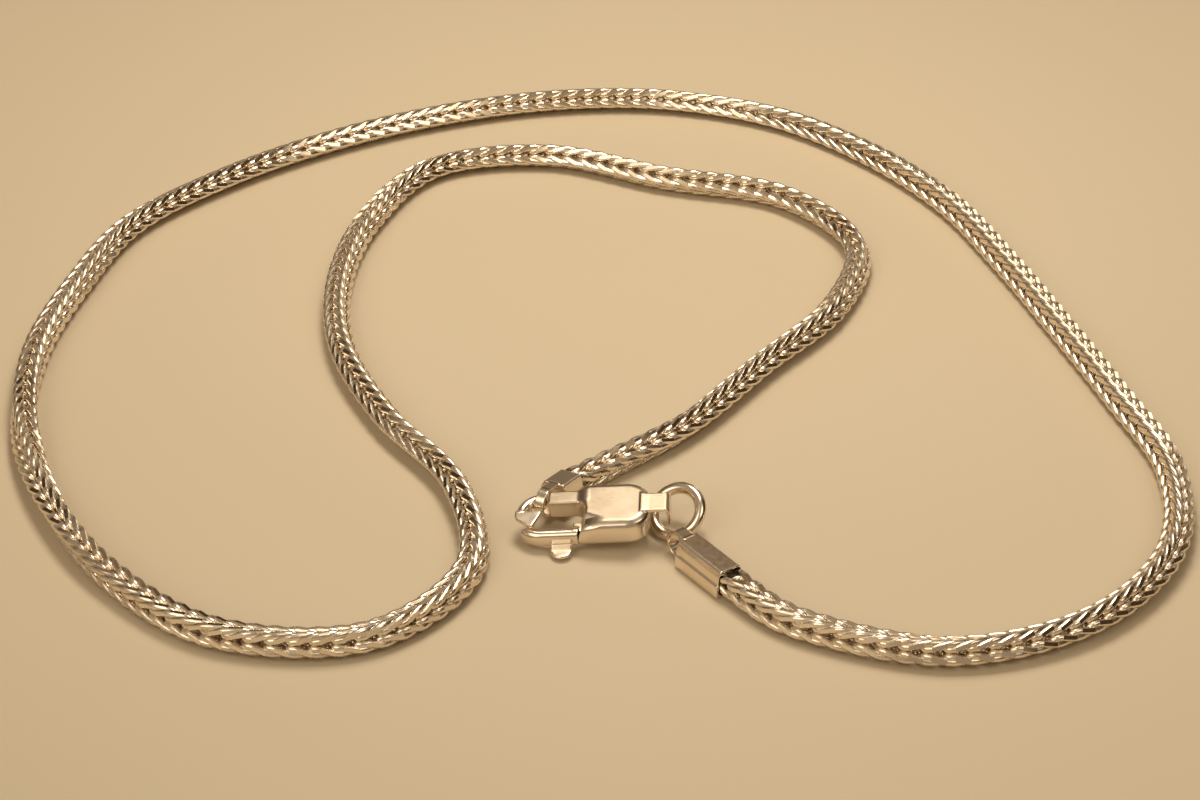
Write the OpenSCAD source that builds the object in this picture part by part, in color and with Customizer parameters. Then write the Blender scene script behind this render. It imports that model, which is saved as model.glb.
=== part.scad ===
// Foxtail chain necklace, fastened and lying as one loop on a flat surface.
// Units are millimetres, +Z is up and the surface is at z = 0.

/* [Chain] */
// Side of the chain's square section
chain_side = 1.85; // [1.6:0.05:2]
// Flat cut off each long edge of the chain
chain_edge = 0.3; // [0.1:0.05:0.4]

/* [End caps] */
// Width of a cap's box
cap_w = 2.25; // [2.2:0.05:2.4]
// Height of a cap's box
cap_h = 2.3; // [2.2:0.05:2.3]
// Length of the box at the jump ring's end of the chain
ring_cap_l = 5; // [4:0.1:6]
// Length of the box at the clasp's end of the chain
hook_cap_l = 2.7; // [2.4:0.1:4]
// Thickness of the strip that loops out of a cap
bail_t = 0.23; // [0.2:0.01:0.25]
// Width of the strip that loops out of the jump ring's cap
bail_w = 1; // [0.8:0.05:1.2]
// Width of the strip that loops out of the clasp's cap
hook_bail_w = 0.8; // [0.7:0.05:0.9]
// Outer radius of the strip's loop
bail_r = 1.15; // [1.1:0.05:1.15]

/* [Jump ring] */
// Diameter of the jump ring's wire
ring_wire = 0.9; // [0.7:0.05:0.9]
// Radius of the jump ring's centreline
ring_r = 1.9; // [1.9:0.05:2]

/* [Clasp] */
// Width of the clasp
clasp_w = 4.7; // [4.6:0.05:4.8]
// Thickness of the clasp
clasp_t = 2.1; // [2.05:0.05:2.3]
// Radius of the hook's round bar
hook_bar_r = 0.45; // [0.4:0.05:0.5]
// Radius of the lever's pin
pin_r = 0.3; // [0.2:0.05:0.35]
// Running clearance around the pin
pin_gap = 0.05; // [0.03:0.01:0.1]
// Length of the thumb tab
tab_l = 1.4; // [1:0.1:1.4]

/* [Hidden] */
$fn = 48;
eps = 0.01;
metal = [0.80, 0.79, 0.76];

// Route of the chain's centreline seen from above, from the clasp's end to the jump ring's end.
// Each point is x, y, the roll of the square section in degrees and its lift off the surface.
route = [
    [-1.7, -23.1, -2, 0.56], [-1.1, -21.9, -2, 0.28], [0.9, -19.9, 16, 0], [7.8, -13.7, 42, 0],
    [14.2, -4.8, 46, 0], [20.7, 4.1, 58, 0], [23.2, 14.4, 62, 0], [17.3, 23.1, 52, 0],
    [6.9, 26.6, 48, 0], [-3.3, 30.8, 38, 0], [-13.7, 28.7, 30, 0], [-19, 19.2, 26, 0],
    [-20.9, 8.4, 25, 0], [-19.8, -2.4, 34, 0], [-15.6, -12.6, 40, 0], [-9.8, -21.9, 32, 0],
    [-8.4, -32.6, 24, 0], [-15.1, -40.5, 18, 0], [-25.8, -40.2, 12, 0], [-34.3, -33.4, -4, 0],
    [-40.2, -24.2, -26, 0], [-43.9, -13.9, -66, 0], [-44.8, -2.9, -104, 0], [-43, 7.9, -116, 0],
    [-39.7, 18.3, -121, 0], [-32.6, 26.6, -126, 0], [-23.9, 33.4, -128, 0], [-14.3, 38.5, -126, 0],
    [-3.7, 41.7, -123, 0], [7.2, 42, -119, 0], [17.5, 38.5, -114, 0], [25.7, 31.3, -108, 0],
    [31.9, 22.2, -104, 0], [35.8, 12, -103, 0], [39.1, 1.5, -103, 0], [42.2, -9.1, -104, 0],
    [44.8, -19.8, -112, 0], [43, -30.5, -127, 0], [36, -38.8, -140, 0], [25.7, -42.3, -157, 0],
    [15.4, -39.1, -168, 0], [10.6, -34.2, -180, 0.22], [9.8, -33.1, -180, 0.22]
];

h_chain = chain_side / 2;
ring_n = len(route);
// Corners of the chain's section, going round
section = [
    [h_chain, chain_edge - h_chain], [h_chain, h_chain - chain_edge],
    [h_chain - chain_edge, h_chain], [chain_edge - h_chain, h_chain],
    [-h_chain, h_chain - chain_edge], [-h_chain, chain_edge - h_chain],
    [chain_edge - h_chain, -h_chain], [h_chain - chain_edge, -h_chain]
];

// Catmull-Rom value and slope at t between p1 and p2
function cr(p0, p1, p2, p3, t) =
    0.5 * (2 * p1 + (p2 - p0) * t + (2 * p0 - 5 * p1 + 4 * p2 - p3) * t * t
    + (3 * p1 - p0 - 3 * p2 + p3) * t * t * t);
function cr_slope(p0, p1, p2, p3, t) =
    0.5 * ((p2 - p0) + 2 * (2 * p0 - 5 * p1 + 4 * p2 - p3) * t
    + 3 * (3 * p1 - p0 - 3 * p2 + p3) * t * t);
function at(i) = route[max(0, min(ring_n - 1, i))];
function sample(i, t) = cr(at(i - 1), at(i), at(i + 1), at(i + 2), t);
function slope(i, t) = cr_slope(at(i - 1), at(i), at(i + 1), at(i + 2), t);
// Sweep steps from one route point to the next
function parts(i) = norm([for (k = [0, 1]) route[i + 1][k] - route[i][k]]) > 6 ? 2 : 1;
// Height of a section's centre that just sets its lowest corner on the surface
function rest(roll) = max([for (c = section) -(c[0] * sin(roll) + c[1] * cos(roll))]);
// Placements: position of a piece's own origin, then turns about its x, y and z axes
clasp_at = [0.3, -26.7, 0.99];
clasp_turn = [10, -5, -3.2];
hook_cap_at = [-2.93, -25.32, 2.03];
hook_cap_turn = [-2, 12, 62];
ring_cap_at = [7.1, -29.4, 1.17];
ring_cap_turn = [0, 0, -54];
jump_ring_at = [6.88, -26.15, 1.71];
jump_ring_turn = [0, 41, 230];

// Clasp levels and outline, measured in the clasp's own frame
wall_top = 1.3;
bevel = 0.45;
body_x0 = -0.6;
body_x1 = 4.85;
half_w = clasp_w / 2;
arm_top = clasp_t - 0.3;
bar_z = 1.2;
bar_bend = 1.5;
bar_c = [-3.4, half_w - 2.4];
lever_z0 = 0.15;
lever_top = 1.3;
lever_w = 0.9;
lever_bend = half_w - lever_w / 2 - 0.6;
pivot = [0.7, -1.2];

module place(at, turn) {
    translate(at)
    rotate(turn)
    children();
}

// Closed sweep of the section along the route, with a ring of corners at each sample
module foxtail_chain() {
    spots = [for (i = [0 : ring_n - 2]) for (k = [0 : parts(i) - 1]) [i, k / parts(i)]];
    rings = [for (s = concat(spots, [[ring_n - 2, 1]]))
        let (p = sample(s[0], s[1]), d = slope(s[0], s[1]))
        let (t = [d[0], d[1], d[3]] / norm([d[0], d[1], d[3]]))
        let (n = [-d[1], d[0], 0] / norm([d[0], d[1]]), b = cross(t, n))
        let (c0 = [p[0], p[1], rest(p[2]) + p[3] + 0.02])
        [for (c = section)
            c0 + n * (c[0] * cos(p[2]) - c[1] * sin(p[2])) + b * (c[0] * sin(p[2]) + c[1] * cos(p[2]))]];
    m = len(section);
    last = len(rings) - 1;
    points = [for (r = rings) for (q = r) q];
    sides = [for (j = [0 : last - 1]) for (k = [0 : m - 1])
        [j * m + k, j * m + (k + 1) % m, (j + 1) * m + (k + 1) % m, (j + 1) * m + k]];
    ends = [[for (k = [m - 1 : -1 : 0]) k], [for (k = [0 : m - 1]) last * m + k]];
    color(metal)
    polyhedron(points, concat(sides, ends));
}

// Folded cap: its x axis runs from the loop to the chain, with the loop's centre at the origin
module end_cap(box_l, strip_w, leg) {
    x0 = leg;
    x1 = x0 + box_l;
    w = cap_w / 2;
    h = cap_h / 2;
    room = chain_side / 2 + 0.07;
    outline = [
        [-w, -h], [w, -h], [w, 0.45 * h], [w - 0.28, h], [0.28 - w, h], [-w, 0.45 * h]
    ];
    color(metal) {
        difference() {
            translate([x0, 0, 0])
            rotate([90, 0, 90])
            linear_extrude(box_l)
            polygon(outline);
            // Socket for the chain
            translate([x0 + 0.3, -room, -room])
            cube([box_l, 2 * room, 2 * room]);
            // Fold line between the two trays
            for (side = [-1, 1])
            translate([x0 + 0.5, side * w - 0.06, -0.05])
            cube([box_l, 0.12, 0.1]);
        }
        // Half-round loop and its two straight legs
        difference() {
            union() {
                rotate([90, 0, 0])
                cylinder(r = bail_r, h = strip_w, center = true);
                translate([0, -strip_w / 2, -bail_r])
                cube([x0 + 0.1, strip_w, 2 * bail_r]);
            }
            rotate([90, 0, 0])
            cylinder(r = bail_r - bail_t, h = strip_w + 1, center = true);
            translate([0, -strip_w, bail_t - bail_r])
            cube([x0, 2 * strip_w, 2 * (bail_r - bail_t)]);
        }
    }
}

module hook_end_cap() {
    place(hook_cap_at, hook_cap_turn)
    end_cap(hook_cap_l, hook_bail_w, 1.15);
}

module ring_end_cap() {
    place(ring_cap_at, ring_cap_turn)
    end_cap(ring_cap_l, bail_w, 0.85);
}

module jump_ring() {
    color(metal)
    place(jump_ring_at, jump_ring_turn)
    rotate_extrude($fn = 96)
    translate([ring_r, 0])
    circle(d = ring_wire);
}

// Rounded rectangle drawn from its edges and corner radius
module rounded(x0, x1, y0, y1, r) {
    translate([x0 + r, y0])
    square([x1 - x0 - 2 * r, y1 - y0]);
    translate([x0, y0 + r])
    square([x1 - x0, y1 - y0 - 2 * r]);
    for (x = [x0 + r, x1 - r])
    for (y = [y0 + r, y1 - r])
    translate([x, y])
    circle(r = r);
}

// The same rounded rectangle standing from z0 to z1 with every side leaning in by d
module leaning(x0, x1, y0, y1, r, z0, z1, d) {
    h = z1 - z0;
    for (x = [x0 + r, x1 - r])
    for (y = [y0 + r, y1 - r])
    translate([x, y, z0])
    cylinder(r1 = r, r2 = r - d, h = h);
    translate([x0 + r, 0, z0])
    rotate([90, 0, 90])
    linear_extrude(x1 - x0 - 2 * r)
    polygon([[y0, 0], [y1, 0], [y1 - d, h], [y0 + d, h]]);
    translate([0, y1 - r, z0])
    rotate([90, 0, 0])
    linear_extrude(y1 - y0 - 2 * r)
    polygon([[x0, 0], [x1, 0], [x1 - d, h], [x0 + d, h]]);
}

// Block that carries the lever's pin, with its bevelled top and the hook's straight arm
module clasp_block() {
    x0 = body_x0 - 2;
    difference() {
        union() {
            linear_extrude(wall_top)
            rounded(x0, body_x1, -half_w, half_w, 1.9);
            leaning(x0, body_x1, -half_w, half_w, 1.9, wall_top, clasp_t, bevel);
        }
        // Everything left of the block but the arm
        translate([x0 - 1, -3, -1])
        cube([body_x0 - x0 + 1, 6, 4]);
    }
    // Flat-topped arm
    translate([-2.9, 0.45, 0.3])
    cube([2.5, half_w - 1.1, arm_top - 0.3]);
}

// Round bar from the arm round the corner to the nose
module hook_bar() {
    translate([bar_c[0], bar_c[1], bar_z])
    rotate([0, 0, 90])
    rotate_extrude(angle = 90)
    translate([bar_bend, 0])
    circle(r = hook_bar_r);
    translate([bar_c[0], bar_c[1] + bar_bend, bar_z])
    rotate([0, 90, 0])
    cylinder(r = hook_bar_r, h = 0.7);
}

// Flat nose that reaches over the lever's tip
module nose() {
    translate([0, 0, 1.38])
    linear_extrude(arm_top - 1.48)
    polygon([[-5.35, 0], [-3.6, 0], [-3.35, -0.15], [-4, -1.65], [-4.25, -1.6], [-5, -1.1], [-5.35, -0.7]]);
    translate([-5.35, -0.2, 0.8])
    cube([0.9, 0.25, 0.8]);
}

// Strip folded down at the end of the block, with room for the jump ring
module neck() {
    w = 0.9;
    top = clasp_t - 0.05;
    x1 = body_x1 + 1.4;
    translate([body_x1 - 1, -w, top - 0.27])
    cube([2.1, 2 * w, 0.27]);
    // Bend at the strip's outer end, then down to the return
    translate([x1 - 0.4, 0, top - 0.4])
    rotate([90, 0, 0])
    intersection() {
        cylinder(r = 0.4, h = 2 * w, center = true);
        translate([0, 0, -2])
        cube([1, 1, 4]);
    }
    translate([x1 - 0.27, -w, 0.5])
    cube([0.27, 2 * w, top - 0.9]);
    translate([body_x1 - 0.3, w - 0.45, 0.25])
    cube([1.7, 0.45, 0.27]);
}

module clasp_body() {
    color(metal)
    place(clasp_at, clasp_turn)
    difference() {
        union() {
            clasp_block();
            hook_bar();
            nose();
            neck();
        }
        // Round end of the window
        translate([body_x0 + 0.35, -0.45, -1])
        cylinder(r = 0.9, h = 4);
        // Bay for the lever's root
        translate([body_x0 - 0.1, -2.05, 0.3])
        cube([2.3, 1.95, 1.1]);
        // Space for the jump ring under the neck
        translate([body_x1 + 0.2, 0, clasp_t - 1.26])
        rotate([90, 0, 0])
        cylinder(r = 0.94, h = 8, center = true);
        // Hole for the pin, open below and blind above
        translate([pivot[0], pivot[1], -1])
        cylinder(r = pin_r + 0.01, h = 2.7);
    }
}

// Section of the lever's arm: straight sides and a round top
module lever_section(w) {
    translate([-w, lever_z0])
    square([2 * w, lever_top - lever_w / 2 - lever_z0]);
    translate([0, lever_top - lever_w / 2])
    circle(r = w);
}

module clasp_lever() {
    w = lever_w / 2;
    y = w - half_w - 0.02;
    color(metal)
    place(clasp_at, clasp_turn)
    difference() {
        union() {
            // Straight arm with a rounded top
            translate([-3.45, y, 0])
            rotate([90, 0, 90])
            linear_extrude(2.78)
            lever_section(w);
            // Bend round the corner to the nose, a hair slimmer so that it ends inside the arm
            translate([-3.4, y + lever_bend, 0])
            rotate([0, 0, 208])
            rotate_extrude(angle = 62)
            translate([lever_bend, 0])
            lever_section(w - 0.015);
            // Root that goes into the block
            translate([-1.5, -1.9, 0.38])
            cube([pivot[0] + 1.5, 0.9, 0.92]);
            translate([pivot[0], pivot[1], 0.38])
            cylinder(r = 0.7, h = 0.92);
            // Thumb tab
            translate([-1.9, y - w + 0.1, lever_z0])
            linear_extrude(0.3)
            union() {
                translate([-0.8, 0.8 - tab_l])
                square([1.6, tab_l - 0.8]);
                translate([0, 0.8 - tab_l])
                circle(r = 0.8);
            }
        }
        translate([pivot[0], pivot[1], -1])
        cylinder(r = pin_r + pin_gap, h = 4);
    }
}

module lever_pin() {
    color(metal)
    place(clasp_at, clasp_turn)
    translate([pivot[0], pivot[1], 0.05])
    cylinder(r = pin_r, h = 1.6);
}

foxtail_chain();
hook_end_cap();
ring_end_cap();
jump_ring();
clasp_body();
clasp_lever();
lever_pin();
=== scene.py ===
"""Foxtail chain necklace lying on a pale surface: wire links, end caps, jump ring and box clasp."""

import math

import bpy
import numpy as np
from mathutils import Matrix, Vector


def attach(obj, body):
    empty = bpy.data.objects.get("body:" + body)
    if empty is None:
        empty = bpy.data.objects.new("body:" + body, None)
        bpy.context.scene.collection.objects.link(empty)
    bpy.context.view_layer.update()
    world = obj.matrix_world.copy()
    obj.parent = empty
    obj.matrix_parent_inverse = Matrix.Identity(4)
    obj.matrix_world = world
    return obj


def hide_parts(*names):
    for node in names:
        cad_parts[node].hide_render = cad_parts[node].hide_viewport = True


MM = 0.001
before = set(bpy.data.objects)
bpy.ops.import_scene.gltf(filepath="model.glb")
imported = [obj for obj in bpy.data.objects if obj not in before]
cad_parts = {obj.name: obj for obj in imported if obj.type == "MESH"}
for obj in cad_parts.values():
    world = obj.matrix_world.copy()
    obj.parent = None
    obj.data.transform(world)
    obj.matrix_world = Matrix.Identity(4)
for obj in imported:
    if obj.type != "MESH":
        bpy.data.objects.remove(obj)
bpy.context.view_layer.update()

# Chain route, as in the source. The links are lifted a little more than the source's tube, because
# their wires reach below its chamfered corners.
CHAIN_SIDE = 1.85
CHAIN_EDGE = 0.3
CHAIN_LIFT = 0.08
# x and y in mm, roll in degrees, lift in mm
ROUTE = [
    (-1.7, -23.1, -2, 0.56), (-1.1, -21.9, -2, 0.28), (0.9, -19.9, 16, 0), (7.8, -13.7, 42, 0),
    (14.2, -4.8, 46, 0), (20.7, 4.1, 58, 0), (23.2, 14.4, 62, 0), (17.3, 23.1, 52, 0),
    (6.9, 26.6, 48, 0), (-3.3, 30.8, 38, 0), (-13.7, 28.7, 30, 0), (-19, 19.2, 26, 0),
    (-20.9, 8.4, 25, 0), (-19.8, -2.4, 34, 0), (-15.6, -12.6, 40, 0), (-9.8, -21.9, 32, 0),
    (-8.4, -32.6, 24, 0), (-15.1, -40.5, 18, 0), (-25.8, -40.2, 12, 0), (-34.3, -33.4, -4, 0),
    (-40.2, -24.2, -26, 0), (-43.9, -13.9, -66, 0), (-44.8, -2.9, -104, 0), (-43, 7.9, -116, 0),
    (-39.7, 18.3, -121, 0), (-32.6, 26.6, -126, 0), (-23.9, 33.4, -128, 0), (-14.3, 38.5, -126, 0),
    (-3.7, 41.7, -123, 0), (7.2, 42, -119, 0), (17.5, 38.5, -114, 0), (25.7, 31.3, -108, 0),
    (31.9, 22.2, -104, 0), (35.8, 12, -103, 0), (39.1, 1.5, -103, 0), (42.2, -9.1, -104, 0),
    (44.8, -19.8, -112, 0), (43, -30.5, -127, 0), (36, -38.8, -140, 0), (25.7, -42.3, -157, 0),
    (15.4, -39.1, -168, 0), (10.6, -34.2, -180, 0.22), (9.8, -33.1, -180, 0.22),
]
ROUTE_SAMPLES = 40

# Link, in mm: its z axis runs along the chain, from the fold to the two tops
LINK_PITCH = 1.54
LINK_H = 3.85
WIRE_R = 0.285
STRAND = 0.27
# One eighth of the link's centre line and, at each point, the side of the wire that faces out
LINK_EIGHTH = [
    ((0.0, STRAND, 0.0), (0, 0, -1)),
    ((0.34, STRAND, 0.05), (0.3, 0, -1)),
    ((0.55, STRAND, 0.24), (0.8, 0, -0.7)),
    ((0.63, 0.275, 0.48), (1, 0, -0.2)),
    ((0.672, 0.31, 0.78), (1, 0, 0)),
    ((0.688, 0.42, 1.12), (1, 0, 0)),
    ((0.684, 0.57, 1.54), (1, 0, 0)),
    ((0.648, 0.648, LINK_H / 2), (1, 0, 0)),
]
LINK_STEPS = [1, 1, 2, 2, 2, 2, 2]
LINK_SIDES = 12
# How close to a cut plane a vertex is moved onto it
SNAP = 0.02
# Bare length of the route before the first link and after the last
CHAIN_END = 0.1
CHAIN_PIECES = 4

# Colours of the silver: bright, and a darker one for the clasp's brushed upper faces that is partly worn by
# handling and partly painted shade that darkens the top
SILVER = (0.86, 0.77, 0.655)
WORN_AND_SHADED = (0.50, 0.415, 0.325)
# Tint of the dull patches
DULL_TINT = (1.0, 0.96, 0.9)
# Patches per mm, and the part of the noise over which they fade
PATCH_SCALE = 0.35
PATCH_FADE = (0.35, 0.65)
# Part of the noise that the roughness follows
NOISE_SPAN = (0.3, 0.7)
# Length and width of a brush line, in features
BRUSH_LENGTH = 8
BRUSH_WIDTH = 0.25
# Height of the fine relief, in mm
RELIEF = 0.02

# Clasp, in mm, in the source's own frame for it
CLASP_T = 2.1
HALF_W = 2.35
BODY_X0 = -0.6
BODY_X1 = 4.85
BLOCK_CORNER = 1.9
# Fall of the block's near left corner to the lever: its height over the lever's top, how fast it rises
# toward +x and +y, where the second rise starts, and the factor that makes it about a distance
FALL_LIFT = 0.15
FALL_X = 0.75
FALL_Y = 1.6
FALL_START = -1.3
FALL_FACTOR = 0.7
WINDOW_R = 0.95
WINDOW_CENTRE = (BODY_X0 - 0.5, -0.45)
ARM_TOP = CLASP_T - 0.3
ARM_LOW = (-2.9, 0.45, 0.3)
ARM_HIGH = (0.2, HALF_W - 0.65, ARM_TOP + 0.1)
BAR_R = 0.45
BAR_Z = 1.2
BAR_BEND = 1.5
BAR_C = (-3.4, -0.05)
BAR_STRAIGHT = 0.9
BAR_END_Y = -0.15
NOSE = [(-5.35, 0), (-3.6, 0), (-3.35, -0.15), (-4, -1.65), (-4.25, -1.6), (-5, -1.1), (-5.35, -0.7)]
NOSE_Z = (1.38, 1.7)
NECK_T = 0.27
NECK_HALF_W = 0.9
NECK_X0 = BODY_X1 - 0.75
NECK_X1 = BODY_X1 + 1.4
NECK_FOLD = 0.4
NECK_Z0 = 0.5
# The return under the neck, the bay for the lever's root, and the scoop at the block's right end
RETURN_LOW = (BODY_X1 - 0.3, 0.45, 0.25)
RETURN_HIGH = (NECK_X1, NECK_HALF_W, 0.52)
BAY_LOW = (BODY_X0 - 1, -2.05, 0.3)
BAY_HIGH = (BODY_X0 + 2.2, -0.1, 1.4)
SCOOP_R = 0.94
SCOOP_CENTRE = (BODY_X1 + 0.2, CLASP_T - 1.26)
PIVOT = (0.7, -1.2)
PIN_R = 0.3
PIN_GAP = 0.05
PIN_FIT = 0.01
PIN_HOLE_TOP = 1.7

# Lever, in the same frame
LEVER_W = 0.9
LEVER_Z0 = 0.15
LEVER_TOP = 1.3
LEVER_BEND = HALF_W - LEVER_W / 2 - 0.6
LEVER_BEND_X = BAR_C[0] - 0.05
# Heading of the lever's tip from the centre of its bend, in degrees
LEVER_TIP = 208
LEVER_X1 = -0.65
# How far the lever stands out past the block
LEVER_OUT = 0.02
ROOT_LOW = (-1.0, -1.9, 0.38)
ROOT_HIGH = (PIVOT[0], -1.0, LEVER_TOP - 0.1)
BOSS_R = 0.7
TAB_L = 1.4
TAB_R = 0.8
TAB_X = -1.9
TAB_OVERLAP = 0.1
TAB_Z = (LEVER_Z0 - 0.12, LEVER_Z0 + 0.16)

# End caps, in mm, in the source's own frame for them: x runs from the strip loop to the chain
CAP_W = 2.25
CAP_H = 2.3
# Width of the bevels beside the top, and the part of the half height at which they start
CAP_BEVEL = 0.28
CAP_SHOULDER = 0.45
CAP_PLAY = 0.07
CAP_END = 0.3
SOCKET_ROUND = 0.45
TRAY_STEP = 0.1
SEAM_R = 0.06
SEAM_Z = 0.08
SEAM_START = 0.4
# How far the strip's run goes on into the box, and where it is cut off
STRIP_RUN = 0.2
STRIP_CUT = 0.15
BAIL_T = 0.23
BAIL_R = 1.15
# Length of the box, width of the strip, and length of the strip's straight part
HOOK_CAP = (2.7, 0.8, 1.15)
RING_CAP = (5, 1, 0.85)

# Radius of each rounded edge, and of each fillet in an inner corner, in mm
EDGE = {
    "block_top": 0.7, "block_foot": 0.45, "far_corner": 0.8, "fall": 0.6, "window": 0.3, "arm": 0.15,
    "bar_end": 0.1, "nose_outline": 0.12, "nose": 0.08, "neck": 0.06, "lever_tip": 0.25,
    "lever_foot": 0.16, "lever_end": 0.03, "root": 0.06, "tab": 0.13, "cap_outline": 0.12, "tray": 0.16,
    "cap_end": 0.07, "socket": 0.03, "seam": 0.02, "strip": 0.08,
}
FILLET = {
    "arm": 0.3, "bar": 0.25, "nose": 0.15, "neck": 0.2, "root": 0.2, "tab": 0.12, "tray": 0.03,
    "strip": 0.08,
}

# Where each frame sits: its origin, then its turn in degrees about x, y and z
CLASP_PLACE = ((0.3, -26.7, 0.99), (10, -5, -3.2))
HOOK_CAP_PLACE = ((-2.93, -25.32, 2.03), (-2, 12, 62))
RING_CAP_PLACE = ((7.1, -29.4, 1.17), (0, 0, -54))

# Low and high corner of the grid that each form is meshed in, and its step. A cap's high corner is
# measured from the end of its box.
BODY_GRID = ((-5.6, -2.6, -0.2), (6.5, 2.6, 2.3), 0.055)
LEVER_GRID = ((-5.2, -3.9, -0.05), (1.6, -0.2, 1.5), 0.045)
CAP_GRID_LOW = (-1.4, -1.35, -1.4)
CAP_GRID_HIGH = (0.2, 1.35, 1.4)
CAP_STEP = 0.045
# Part of a step over which a form's slope is measured
NUDGE = 0.02
# Rounds of moving the vertices onto the surface, and the least slope that a move is divided by
SETTLE_ROUNDS = 6
SETTLE_SLOPE = 0.25
# A face counts as upper when its normal is at least this much upward
UPWARD = 0.76

FLOOR_HALF = 2.0
FLOOR_COLOUR = (0.60, 0.50, 0.36)
FLOOR_ROUGHNESS = 0.6
# Soft panels of the room that the metal reflects: azimuth from the back towards +X, elevation, radius
# and soft edge in degrees, then the colour
ROOM = (0.325, 0.252, 0.17)
DARK = (0.055, 0.034, 0.019)
BROWN = (0.19, 0.13, 0.075)
BRIGHT = (2.2, 1.95, 1.55)
PANELS = [
    (96, 18, 34, 14, DARK),
    (-5, 22, 9, 6, DARK),
    (-48, 30, 11, 6, DARK),
    (3, 37, 7, 5, BROWN),
    (-9, 52, 12, 6, BROWN),
    (-140, 42, 16, 10, BRIGHT),
    (125, 50, 10, 8, BRIGHT),
    (22, 12, 4, 4, BRIGHT),
]
LAMP_AT = (10, 30, 160)
LAMP_TARGET = (0, 24, 0)
LAMP_SIZE = (90, 60)
LAMP_WATTS = 0.19
LAMP_COLOUR = (1.0, 0.90, 0.74)
CAMERA_AT = (1.132, -203.01, 126.5)
CAMERA_TILT = 57
CAMERA_LENS = 87
CAMERA_SENSOR = 36


def catmull(p0, p1, p2, p3, t):
    return 0.5 * (2 * p1 + (p2 - p0) * t + (2 * p0 - 5 * p1 + 4 * p2 - p3) * t ** 2
                  + (3 * p1 - p0 - 3 * p2 + p3) * t ** 3)


def catmull_slope(p0, p1, p2, p3, t):
    return 0.5 * ((p2 - p0) + 2 * (2 * p0 - 5 * p1 + 4 * p2 - p3) * t
                  + 3 * (3 * p1 - p0 - 3 * p2 + p3) * t ** 2)


def unit(vectors):
    return vectors / np.linalg.norm(vectors, axis=1)[:, None]


def section_corners():
    """Corners of the chain's chamfered square section."""
    h = CHAIN_SIDE / 2
    e = CHAIN_EDGE
    near = h - e
    return [(h, -near), (h, near), (near, h), (-near, h), (-h, near), (-h, -near), (-near, -h), (near, -h)]


def rest_height(roll):
    """Height of the chain's centre that sets its lowest corner on the surface."""
    return max(-(c[0] * math.sin(roll) + c[1] * math.cos(roll)) for c in section_corners())


def chain_frames():
    """Length along the route, centre and the two turned side directions, at each sample."""
    route = np.array(ROUTE, float)
    last = len(route) - 1
    rows = []
    for i in range(last):
        p = [route[max(0, min(last, j))] for j in (i - 1, i, i + 1, i + 2)]
        for t in np.arange(ROUTE_SAMPLES) / ROUTE_SAMPLES:
            rows.append((catmull(*p, t), catmull_slope(*p, t)))
    p = [route[last - 2], route[last - 1], route[last], route[last]]
    rows.append((catmull(*p, 1.0), catmull_slope(*p, 1.0)))
    centres = []
    tangents = []
    rolls = []
    for value, slope in rows:
        roll = math.radians(value[2])
        centres.append((value[0], value[1], rest_height(roll) + value[3] + CHAIN_LIFT))
        tangents.append((slope[0], slope[1], slope[3]))
        rolls.append(roll)
    centres = np.array(centres)
    tangents = unit(np.array(tangents))
    left = unit(np.stack([-tangents[:, 1], tangents[:, 0], np.zeros(len(rows))], 1))
    up = np.cross(tangents, left)
    rolls = np.array(rolls)[:, None]
    side_x = left * np.cos(rolls) + up * np.sin(rolls)
    side_y = up * np.cos(rolls) - left * np.sin(rolls)
    along = np.concatenate([[0], np.cumsum(np.linalg.norm(np.diff(centres, axis=0), axis=1))])
    return along, centres, side_x, side_y


def link_loop():
    """Points of a whole link's centre line with the side that faces out, and the steps after each."""
    eighth = [(np.array(p, float), np.array(r, float)) for p, r in LINK_EIGHTH]
    # The upper half is the lower one turned a quarter round, and keeps facing the same way
    swap = [(np.array([p[1], p[0], LINK_H - p[2]]), np.array([1.0, 0, 0])) for p, _ in eighth]
    quarter = eighth + swap[-2::-1]
    steps = LINK_STEPS + LINK_STEPS[::-1]
    loop = []
    counts = []
    # Four mirrored quarters, every second one run backwards
    for n, (fx, fy) in enumerate([(1, 1), (1, -1), (-1, -1), (-1, 1)]):
        flip = np.array([fx, fy, 1.0])
        part = [(p * flip, r * flip) for p, r in quarter]
        way = -1 if n % 2 else 1
        loop += part[::way][:-1]
        counts += steps[::way]
    return loop, counts


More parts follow.
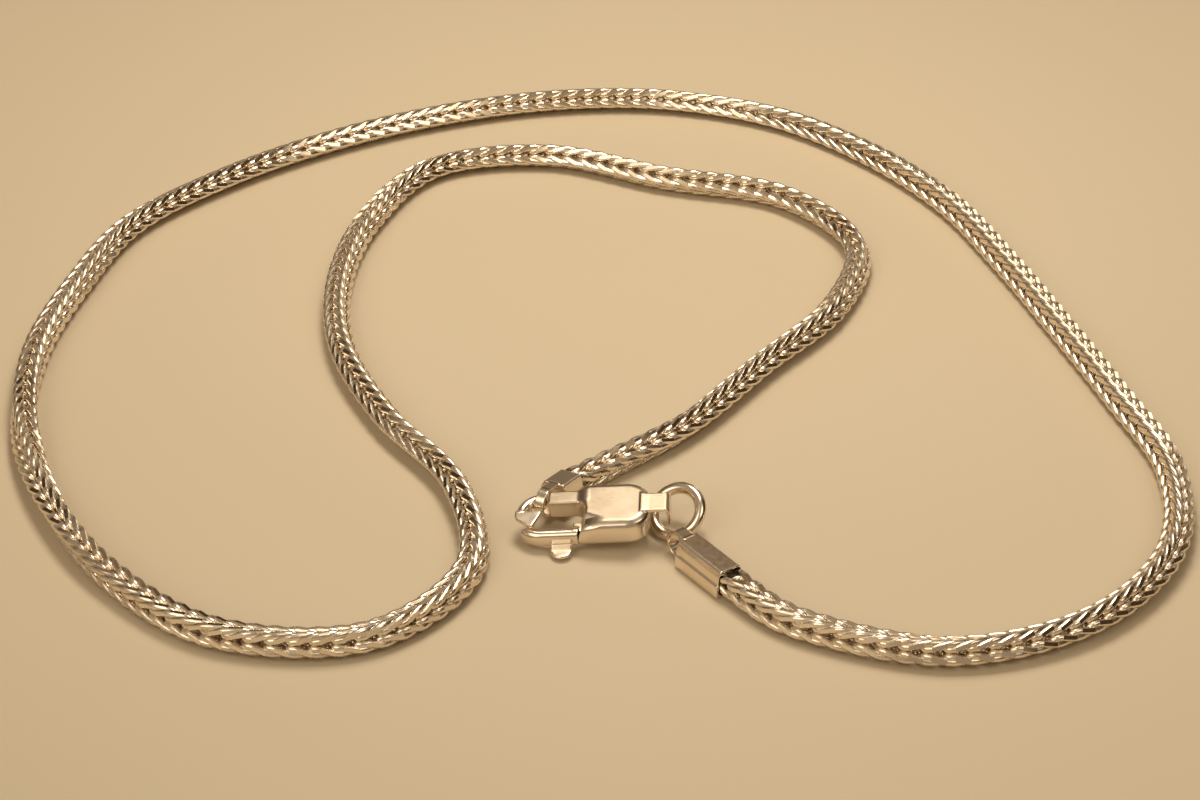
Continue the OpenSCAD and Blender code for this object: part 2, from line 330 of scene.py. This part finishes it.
def link_mesh():
    """Vertices, quads and the flag of the quads on a cut facet, for one link in its own frame."""
    loop, counts = link_loop()
    n = len(loop)
    centre = []
    tangent = []
    facing = []
    for i in range(n):
        p = [loop[(i + k) % n][0] for k in (-1, 0, 1, 2)]
        r = [loop[(i + k) % n][1] for k in (-1, 0, 1, 2)]
        for t in np.arange(counts[i]) / counts[i]:
            centre.append(catmull(*p, t))
            tangent.append(catmull_slope(*p, t))
            facing.append(catmull(*r, t))
    centre = np.array(centre)
    tangent = unit(np.array(tangent))
    facing = np.array(facing)
    facing = unit(facing - tangent * np.sum(facing * tangent, axis=1)[:, None])
    across = np.cross(tangent, facing)
    turn = np.arange(LINK_SIDES)[None, :, None] * 2 * math.pi / LINK_SIDES
    circle = np.cos(turn) * facing[:, None, :] + np.sin(turn) * across[:, None, :]
    verts = (centre[:, None, :] + WIRE_R * circle).reshape(-1, 3)
    # Cut every side flat, and note which plane cut each vertex
    half = CHAIN_SIDE / 2
    plane = np.zeros(len(verts), int)
    for axis in (0, 1):
        for sign in (-1, 1):
            over = verts[:, axis] * sign > half - SNAP
            plane[over] = 1 + axis * 2 + (sign > 0)
            verts[over, axis] = sign * half
    rings = len(centre)
    quads = []
    for i in range(rings):
        here = i * LINK_SIDES
        there = (i + 1) % rings * LINK_SIDES
        for k in range(LINK_SIDES):
            k1 = (k + 1) % LINK_SIDES
            quads.append((here + k, there + k, there + k1, here + k1))
    quads = np.array(quads)
    planes = plane[quads]
    facet = (planes[:, 0] > 0) & (planes == planes[:, :1]).all(axis=1)
    return verts, quads, facet


def add_mesh(name, verts_mm, faces, materials, body, face_material=None, flat=None):
    """New object from vertices in mm, riding on a body."""
    mesh = bpy.data.meshes.new(name)
    mesh.from_pydata((np.asarray(verts_mm) * MM).tolist(), [], [tuple(int(i) for i in f) for f in faces])
    for m in materials:
        mesh.materials.append(m)
    smooth = np.ones(len(mesh.polygons), bool)
    if flat is not None:
        smooth[flat] = False
    mesh.polygons.foreach_set("use_smooth", smooth)
    if face_material is not None:
        mesh.polygons.foreach_set("material_index", np.asarray(face_material, np.int32))
    mesh.update()
    obj = bpy.data.objects.new(name, mesh)
    bpy.context.scene.collection.objects.link(obj)
    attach(obj, body)
    return obj


def sharpen_facets(mesh):
    """Sharp edges wherever a flat face meets a smooth one."""
    smooth = np.empty(len(mesh.polygons), bool)
    mesh.polygons.foreach_get("use_smooth", smooth)
    loop_edges = np.empty(len(mesh.loops), np.int32)
    mesh.loops.foreach_get("edge_index", loop_edges)
    loop_face = np.repeat(np.arange(len(mesh.polygons)), 4)
    flat_count = np.bincount(loop_edges, weights=~smooth[loop_face], minlength=len(mesh.edges))
    mesh.edges.foreach_set("use_edge_sharp", flat_count == 1)


def make_chain(materials):
    """All links, bent along the route and joined into a few pieces."""
    along, centres, side_x, side_y = chain_frames()
    verts, quads, facet = link_mesh()
    room = along[-1] - LINK_H - 2 * CHAIN_END
    count = int(room / LINK_PITCH) + 1
    pitch = room / (count - 1)
    for piece, group in enumerate(np.array_split(np.arange(count), CHAIN_PIECES)):
        all_verts = []
        all_quads = []
        for n, k in enumerate(group):
            s = CHAIN_END + k * pitch + verts[:, 2]
            at, dx, dy = (np.stack([np.interp(s, along, rows[:, a]) for a in range(3)], 1)
                          for rows in (centres, side_x, side_y))
            all_verts.append(at + dx * verts[:, 1:2] - dy * verts[:, :1])
            all_quads.append(quads + n * len(verts))
        flat = np.tile(facet, len(group))
        obj = add_mesh(f"chain_links_{piece + 1}", np.concatenate(all_verts), np.concatenate(all_quads),
                       materials, "necklace", flat.astype(int), flat)
        sharpen_facets(obj.data)
        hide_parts("foxtail_chain")


def metal(name, colour=SILVER, rough=0.2, rough_var=0.08, bump=0.05, scale=2.0, brush=None, tarnish=0.0):
    """Silver with fine variation.

    Scale is in features per mm; brush is the heading of its brush lines in degrees.
    """
    mat = bpy.data.materials.new(name)
    mat.use_nodes = True
    nodes = mat.node_tree.nodes
    links = mat.node_tree.links
    bsdf = nodes["Principled BSDF"]
    bsdf.inputs["Metallic"].default_value = 1.0
    coord = nodes.new("ShaderNodeTexCoord")
    mapping = nodes.new("ShaderNodeMapping")
    links.new(coord.outputs["Object"], mapping.inputs["Vector"])
    per_m = scale / MM
    if brush is None:
        mapping.inputs["Scale"].default_value = (per_m, per_m, per_m)
    else:
        mapping.vector_type = "TEXTURE"
        mapping.inputs["Rotation"].default_value = (0, 0, math.radians(brush))
        width = BRUSH_WIDTH / per_m
        mapping.inputs["Scale"].default_value = (BRUSH_LENGTH / per_m, width, width)
    fine = nodes.new("ShaderNodeTexNoise")
    fine.inputs["Scale"].default_value = 1.0
    fine.inputs["Detail"].default_value = 4.0
    links.new(mapping.outputs["Vector"], fine.inputs["Vector"])
    rough_map = nodes.new("ShaderNodeMapRange")
    rough_map.inputs["From Min"].default_value = NOISE_SPAN[0]
    rough_map.inputs["From Max"].default_value = NOISE_SPAN[1]
    rough_map.inputs["To Min"].default_value = rough - rough_var
    rough_map.inputs["To Max"].default_value = rough + rough_var
    links.new(fine.outputs["Fac"], rough_map.inputs["Value"])
    links.new(rough_map.outputs["Result"], bsdf.inputs["Roughness"])
    patches = nodes.new("ShaderNodeTexNoise")
    patches.inputs["Scale"].default_value = PATCH_SCALE / MM
    patches.inputs["Detail"].default_value = 3.0
    links.new(coord.outputs["Object"], patches.inputs["Vector"])
    fade = nodes.new("ShaderNodeValToRGB")
    dull = tuple(c * (1 - tarnish) * w for c, w in zip(colour, DULL_TINT))
    for stop, position, shade in zip(fade.color_ramp.elements, PATCH_FADE, (dull, colour)):
        stop.position = position
        stop.color = (*shade, 1)
    links.new(patches.outputs["Fac"], fade.inputs["Fac"])
    links.new(fade.outputs["Color"], bsdf.inputs["Base Color"])
    relief = nodes.new("ShaderNodeBump")
    relief.inputs["Strength"].default_value = bump
    relief.inputs["Distance"].default_value = RELIEF * MM
    links.new(fine.outputs["Fac"], relief.inputs["Height"])
    links.new(relief.outputs["Normal"], bsdf.inputs["Normal"])
    return mat


# The forms below are distances in mm from their surface, less than 0 inside


def round_max(a, b, r):
    """Intersection of two forms with a rounded edge."""
    return np.minimum(np.maximum(a, b), -r) + np.hypot(np.maximum(a + r, 0), np.maximum(b + r, 0))


def round_min(a, b, r):
    """Union of two forms with a rounded inner corner."""
    return -round_max(-a, -b, r)


def slab(v, low, high):
    return np.abs(v - (low + high) / 2) - (high - low) / 2


def box_form(x, y, z, low, high, r=0.0):
    sides = round_max(slab(x, low[0], high[0]), slab(y, low[1], high[1]), r)
    return round_max(sides, slab(z, low[2], high[2]), r)


def rounded_rect(x, y, x0, x1, half_w, r):
    qx = slab(x, x0, x1) + r
    qy = np.abs(y) - half_w + r
    return np.minimum(np.maximum(qx, qy), 0) + np.hypot(np.maximum(qx, 0), np.maximum(qy, 0)) - r


def convex(x, y, points, r):
    """Convex outline whose points run clockwise."""
    form = None
    for (ax, ay), (bx, by) in zip(points, points[1:] + points[:1]):
        edge = ((x - ax) * (ay - by) + (y - ay) * (bx - ax)) / math.hypot(bx - ax, by - ay)
        form = edge if form is None else round_max(form, edge, r)
    return form


def from_run(v, across, low, high):
    """Distance from a straight run along v between two ends."""
    return np.hypot(v - np.clip(v, low, high), across)


def arc_distance(x, y, centre, radius, start, end):
    """Distance in the plane from an arc between two headings in degrees."""
    dx = x - centre[0]
    dy = y - centre[1]
    angle = np.degrees(np.arctan2(dy, dx)) % 360
    on_arc = (angle > start) & (angle < end)
    near = np.abs(np.hypot(dx, dy) - radius)
    ends = [np.hypot(dx - radius * math.cos(math.radians(t)), dy - radius * math.sin(math.radians(t)))
            for t in (start, end)]
    return np.where(on_arc, near, np.minimum(*ends))


def from_pivot(x, y):
    return np.hypot(x - PIVOT[0], y - PIVOT[1])


def block_form(x, y, z):
    """The clasp's block with its window end."""
    # The outline runs on past the left end, which cuts it off
    outline = rounded_rect(x, y, BODY_X0 - 2, BODY_X1, HALF_W, BLOCK_CORNER)
    # The far left corner is round in plan; the near one meets the lever square
    end = BODY_X0 - x
    block = np.where(y > 0, round_max(outline, end, EDGE["far_corner"]), np.maximum(outline, end))
    block = round_max(block, z - CLASP_T, EDGE["block_top"])
    # The near left corner runs down to the lever's round top
    rise = FALL_X * (x - BODY_X0) + FALL_Y * np.maximum(y - FALL_START, 0)
    fall = FALL_FACTOR * (z - LEVER_TOP - FALL_LIFT - rise)
    block = round_max(block, fall, EDGE["fall"])
    block = round_max(block, -z, EDGE["block_foot"])
    window = WINDOW_R - np.hypot(np.maximum(x - WINDOW_CENTRE[0], 0), y - WINDOW_CENTRE[1])
    return round_max(block, window, EDGE["window"])


def neck_form(x, y, z):
    """Strip that runs out from the block and folds down."""
    fold = round_max(x - NECK_X1, z - CLASP_T, NECK_FOLD)
    neck = round_max(slab(fold, -NECK_T, 0), np.abs(y) - NECK_HALF_W, EDGE["neck"])
    neck = np.maximum(neck, NECK_X0 - x)
    return round_max(neck, NECK_Z0 - z, EDGE["neck"])


def clasp_body_form(x, y, z):
    arm = box_form(x, y, z, ARM_LOW, ARM_HIGH, EDGE["arm"])
    body = round_min(block_form(x, y, z), arm, FILLET["arm"])
    arc = arc_distance(x, y, BAR_C, BAR_BEND, 90, 180)
    straight = from_run(x, y - BAR_C[1] - BAR_BEND, BAR_C[0], BAR_C[0] + BAR_STRAIGHT)
    bar = np.hypot(np.minimum(arc, straight), z - BAR_Z) - BAR_R
    bar = round_max(bar, BAR_END_Y - y, EDGE["bar_end"])
    body = round_min(body, bar, FILLET["bar"])
    nose = round_max(convex(x, y, NOSE, EDGE["nose_outline"]), slab(z, *NOSE_Z), EDGE["nose"])
    body = round_min(body, nose, FILLET["nose"])
    body = round_min(body, neck_form(x, y, z), FILLET["neck"])
    body = np.minimum(body, box_form(x, y, z, RETURN_LOW, RETURN_HIGH, EDGE["neck"]))
    body = np.maximum(body, -box_form(x, y, z, BAY_LOW, BAY_HIGH))
    body = np.maximum(body, SCOOP_R - np.hypot(x - SCOOP_CENTRE[0], z - SCOOP_CENTRE[1]))
    hole = np.maximum(from_pivot(x, y) - PIN_R - PIN_FIT, z - PIN_HOLE_TOP)
    return np.maximum(body, -hole)


def clasp_lever_form(x, y, z):
    w = LEVER_W / 2
    y0 = w - HALF_W - LEVER_OUT
    bend_y = y0 + LEVER_BEND
    # The arc runs on past the tip, which cuts it off
    arc = arc_distance(x, y, (LEVER_BEND_X, bend_y), LEVER_BEND, LEVER_TIP - 8, 270)
    path = np.minimum(arc, from_run(x, y - y0, LEVER_BEND_X, 0)) - w
    tip = math.radians(LEVER_TIP)
    past_tip = (x - LEVER_BEND_X) * math.sin(tip) - (y - bend_y) * math.cos(tip)
    path = round_max(path, past_tip, EDGE["lever_tip"])
    # Its top is all but a half circle
    arm = round_max(path, z - LEVER_TOP, w - 0.02)
    arm = round_max(arm, LEVER_Z0 - z, EDGE["lever_foot"])
    arm = round_max(arm, x - LEVER_X1, EDGE["lever_end"])
    root = box_form(x, y, z, ROOT_LOW, ROOT_HIGH, EDGE["root"])
    arm = round_min(arm, root, FILLET["root"])
    boss = round_max(from_pivot(x, y) - BOSS_R, slab(z, ROOT_LOW[2], LEVER_TOP), EDGE["root"])
    tab_y = y0 - w + TAB_OVERLAP
    tab = from_run(y, x - TAB_X, tab_y + TAB_R - TAB_L, tab_y) - TAB_R
    tab = round_max(tab, slab(z, *TAB_Z), EDGE["tab"])
    lever = np.minimum(round_min(arm, tab, FILLET["tab"]), boss)
    return np.maximum(lever, PIN_R + PIN_GAP - from_pivot(x, y))


def cap_form(x, y, z, box_l, strip_w, leg):
    """Box of two folded trays round the chain's end, with its strip loop."""
    w = CAP_W / 2
    h = CAP_H / 2
    top_w = w - CAP_BEVEL
    side_h = CAP_SHOULDER * h
    outline = [(-w, -h), (-w, side_h), (-top_w, h), (top_w, h), (w, side_h), (w, -h)]
    # The upper tray sits inside the edge of the lower one
    lower = round_max(np.abs(y) - w - TRAY_STEP, slab(z, -h, 0), EDGE["tray"])
    box = round_min(convex(y, z, outline, EDGE["cap_outline"]), lower, FILLET["tray"])
    box = round_max(box, slab(x, leg, leg + box_l), EDGE["cap_end"])
    room = CHAIN_SIDE / 2 + CAP_PLAY
    socket = round_max(np.maximum(leg + CAP_END - x, np.abs(y) - room), np.abs(z) - room, SOCKET_ROUND)
    box = round_max(box, -socket, EDGE["socket"])
    # Seam between the trays
    past_start = np.maximum(leg + SEAM_START - x, 0)
    seam = np.hypot(past_start, np.hypot(np.abs(y) - w, z - SEAM_Z)) - SEAM_R
    box = round_max(box, -seam, EDGE["seam"])
    ring = from_run(x, z, 0, leg + STRIP_RUN) - BAIL_R
    strip = round_max(slab(ring, -BAIL_T, 0), np.abs(y) - strip_w / 2, EDGE["strip"])
    strip = np.maximum(strip, x - leg - STRIP_CUT)
    return round_min(box, strip, FILLET["strip"])


def form_slope(form, verts, nudge):
    """Slope of a form at each vertex."""
    columns = []
    for axis in range(3):
        shift = nudge * np.eye(3)[axis]
        columns.append((form(*(verts + shift).T) - form(*(verts - shift).T)) / (2 * nudge))
    return np.stack(columns, 1)


def form_mesh(form, grid):
    """Quads over a form's surface: one vertex in each grid cell that it crosses, moved onto it."""
    low, high, step = grid
    axes = [np.arange(a, b + step, step) for a, b in zip(low, high)]
    inside = form(*np.meshgrid(*axes, indexing="ij")) < 0
    shape = [n - 1 for n in inside.shape]
    corner_count = np.zeros(shape, int)
    for i in (0, 1):
        for j in (0, 1):
            for k in (0, 1):
                corner_count += inside[i:i + shape[0], j:j + shape[1], k:k + shape[2]]
    crossed = (corner_count > 0) & (corner_count < 8)
    index = np.full(shape, -1)
    index[crossed] = np.arange(crossed.sum())
    verts = np.argwhere(crossed) * step + np.array(low) + step / 2
    quads = []
    for axis in range(3):
        first = np.moveaxis(inside, axis, 0)
        cells = np.moveaxis(index, axis, 0)
        change = first[1:, 1:-1, 1:-1] != first[:-1, 1:-1, 1:-1]
        i, j, k = np.nonzero(change)
        ring = np.stack([cells[i, j, k], cells[i, j + 1, k], cells[i, j + 1, k + 1], cells[i, j, k + 1]], 1)
        # Axis 1 keeps the two other axes in swapped order, so its quads turn the other way
        turn = first[1:, 1:-1, 1:-1][change] ^ (axis == 1)
        quads.append(np.where(turn[:, None], ring[:, ::-1], ring))
    for _ in range(SETTLE_ROUNDS):
        slope = form_slope(form, verts, step * NUDGE)
        steepness = np.maximum(np.sum(slope ** 2, axis=1), SETTLE_SLOPE)
        move = slope * (form(*verts.T) / steepness)[:, None]
        verts = verts - np.clip(move, -step / 2, step / 2)
    return verts, np.concatenate(quads)


def placed(verts, place):
    """Vertices of a form's own frame, moved to where that frame sits."""
    at, turn = place
    rx, ry, rz = (math.radians(t) for t in turn)
    matrix = Matrix.Rotation(rz, 3, "Z") @ Matrix.Rotation(ry, 3, "Y") @ Matrix.Rotation(rx, 3, "X")
    return verts @ np.array(matrix).T + np.array(at)


def make_form(name, node_name, form, grid, place, materials, body):
    """Piece in place of a node. The last of two materials goes on its upper faces; its darker colour is
    partly wear and partly painted shade on the top.
    """
    verts, quads = form_mesh(form, grid)
    on_top = None
    if len(materials) > 1:
        corners = verts[quads]
        normals = np.cross(corners[:, 2] - corners[:, 0], corners[:, 3] - corners[:, 1])
        steep = normals[:, 2] < UPWARD * np.linalg.norm(normals, axis=1)
        above = (corners[:, :, 2] > ARM_TOP).all(axis=1)
        on_top = (above & ~steep).astype(int)
    obj = add_mesh(name, placed(verts, place), quads, materials, body, on_top)
    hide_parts(node_name)


def make_cap(name, node_name, sizes, place, materials):
    def form(x, y, z):
        return cap_form(x, y, z, *sizes)

    box_l, _, leg = sizes
    high = (box_l + leg + CAP_GRID_HIGH[0], *CAP_GRID_HIGH[1:])
    make_form(name, node_name, form, (CAP_GRID_LOW, high, CAP_STEP), place, materials, "necklace")


def make_surface():
    mesh = bpy.data.meshes.new("surface")
    corners = [(x * FLOOR_HALF, y * FLOOR_HALF, 0) for x, y in ((-1, -1), (1, -1), (1, 1), (-1, 1))]
    mesh.from_pydata(corners, [], [(0, 1, 2, 3)])
    surface = bpy.data.objects.new("surface", mesh)
    bpy.context.scene.collection.objects.link(surface)
    mat = bpy.data.materials.new("pale_surface")
    mat.use_nodes = True
    bsdf = mat.node_tree.nodes["Principled BSDF"]
    bsdf.inputs["Base Color"].default_value = (*FLOOR_COLOUR, 1)
    bsdf.inputs["Roughness"].default_value = FLOOR_ROUGHNESS
    mesh.materials.append(mat)


def make_room():
    """World of one soft colour, with panels laid over it by their direction."""
    world = bpy.data.worlds.new("soft_room")
    bpy.context.scene.world = world
    world.use_nodes = True
    nodes = world.node_tree.nodes
    links = world.node_tree.links
    background = nodes["Background"]
    background.inputs["Strength"].default_value = 1.0
    heading = nodes.new("ShaderNodeTexCoord")
    laid = None
    for azimuth, elevation, radius, edge, colour in PANELS:
        az = math.radians(azimuth)
        el = math.radians(elevation)
        dot = nodes.new("ShaderNodeVectorMath")
        dot.operation = "DOT_PRODUCT"
        flat = math.cos(el)
        dot.inputs[1].default_value = (flat * math.sin(az), flat * math.cos(az), math.sin(el))
        links.new(heading.outputs["Generated"], dot.inputs[0])
        fade = nodes.new("ShaderNodeMapRange")
        fade.interpolation_type = "SMOOTHSTEP"
        fade.inputs["From Min"].default_value = math.cos(math.radians(radius + edge))
        fade.inputs["From Max"].default_value = math.cos(math.radians(radius))
        links.new(dot.outputs["Value"], fade.inputs["Value"])
        mix = nodes.new("ShaderNodeMixRGB")
        mix.inputs["Color1"].default_value = (*ROOM, 1)
        mix.inputs["Color2"].default_value = (*colour, 1)
        links.new(fade.outputs["Result"], mix.inputs["Fac"])
        if laid is not None:
            links.new(laid, mix.inputs["Color1"])
        laid = mix.outputs["Color"]
    links.new(laid, background.inputs["Color"])


def make_lamp():
    lamp = bpy.data.lights.new("overhead_soft", "AREA")
    lamp.shape = "RECTANGLE"
    lamp.size = LAMP_SIZE[0] * MM
    lamp.size_y = LAMP_SIZE[1] * MM
    lamp.energy = LAMP_WATTS
    lamp.color = LAMP_COLOUR
    obj = bpy.data.objects.new("overhead_soft", lamp)
    bpy.context.scene.collection.objects.link(obj)
    obj.location = Vector(LAMP_AT) * MM
    obj.rotation_euler = (Vector(LAMP_TARGET) - Vector(LAMP_AT)).to_track_quat("-Z", "Y").to_euler()


def make_camera():
    data = bpy.data.cameras.new("camera")
    data.sensor_width = CAMERA_SENSOR
    data.lens = CAMERA_LENS
    data.clip_start = 0.01
    camera = bpy.data.objects.new("camera", data)
    bpy.context.scene.collection.objects.link(camera)
    camera.location = Vector(CAMERA_AT) * MM
    camera.rotation_euler = (math.radians(CAMERA_TILT), 0, 0)
    bpy.context.scene.camera = camera


wire = metal("wire_silver", rough=0.27, rough_var=0.06, bump=0.1, scale=3.0, tarnish=0.1)
facet = metal("facet_silver", rough=0.12, rough_var=0.03, bump=0.03, scale=4.0)
# The clasp's upper faces take the darker colour, partly wear and partly painted shade on the top
brushed = metal("brushed_silver", WORN_AND_SHADED, rough=0.34, bump=0.2, scale=4.0, brush=-3.2, tarnish=0.3)
polished = metal("polished_silver", rough_var=0.03, bump=0.015, scale=2.5, tarnish=0.05)

make_chain([wire, facet])
make_form("clasp_body_cast", "clasp_body", clasp_body_form, BODY_GRID, CLASP_PLACE,
          [polished, brushed], "necklace")
make_form("clasp_lever_cast", "clasp_lever", clasp_lever_form, LEVER_GRID, CLASP_PLACE,
          [polished], "lever")
make_cap("hook_cap_folded", "hook_end_cap", HOOK_CAP, HOOK_CAP_PLACE, [polished])
make_cap("ring_cap_folded", "ring_end_cap", RING_CAP, RING_CAP_PLACE, [polished])
for node_name in ("lever_pin", "jump_ring"):
    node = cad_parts[node_name]
    node.data.materials.clear()
    node.data.materials.append(polished)

make_surface()
make_room()
make_lamp()
make_camera()
bpy.context.scene.view_settings.view_transform = "Standard"
